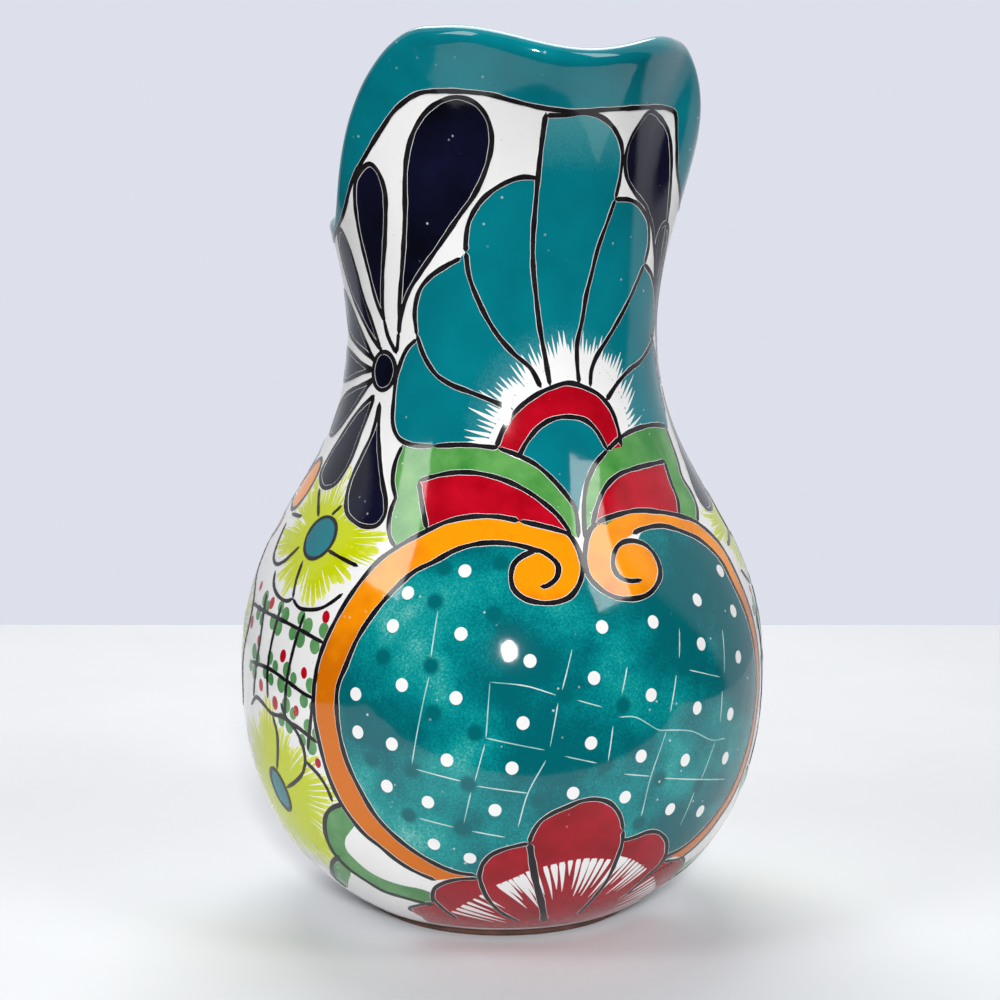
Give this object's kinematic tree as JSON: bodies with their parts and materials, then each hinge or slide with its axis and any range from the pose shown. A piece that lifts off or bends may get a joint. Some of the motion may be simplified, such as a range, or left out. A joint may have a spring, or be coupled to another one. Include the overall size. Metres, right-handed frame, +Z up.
{
  "type": "pitcher",
  "caption": "Hand-painted earthenware pitcher: pear body on a bare foot, flared neck, raised wavy spout and a strap handle behind, for pouring drinks.",
  "frame": {"origin": "on the axis of the body, at the flat underside of the foot", "axes": "+Z up along the axis of the body; the spout faces -Y and the handle +Y"},
  "size_m": [0.1502, 0.1803, 0.2478],
  "materials": {
    "bare_clay": "unglazed, matt",
    "white_glaze": "glossy tin glaze",
    "teal_glaze": "glossy painted glaze",
    "navy_glaze": "glossy painted glaze",
    "lime_glaze": "glossy painted glaze",
    "green_glaze": "glossy painted glaze",
    "orange_glaze": "glossy painted glaze",
    "red_glaze": "glossy painted glaze",
    "black_line": "glossy painted line"
  },
  "bodies": {
    "root": {"foot": "bare_clay", "belly": "white_glaze", "neck": "white_glaze", "handle": "teal_glaze", "upper_handle_pad": "teal_glaze", "lower_handle_pad": "teal_glaze"}
  },
  "joints": []
}
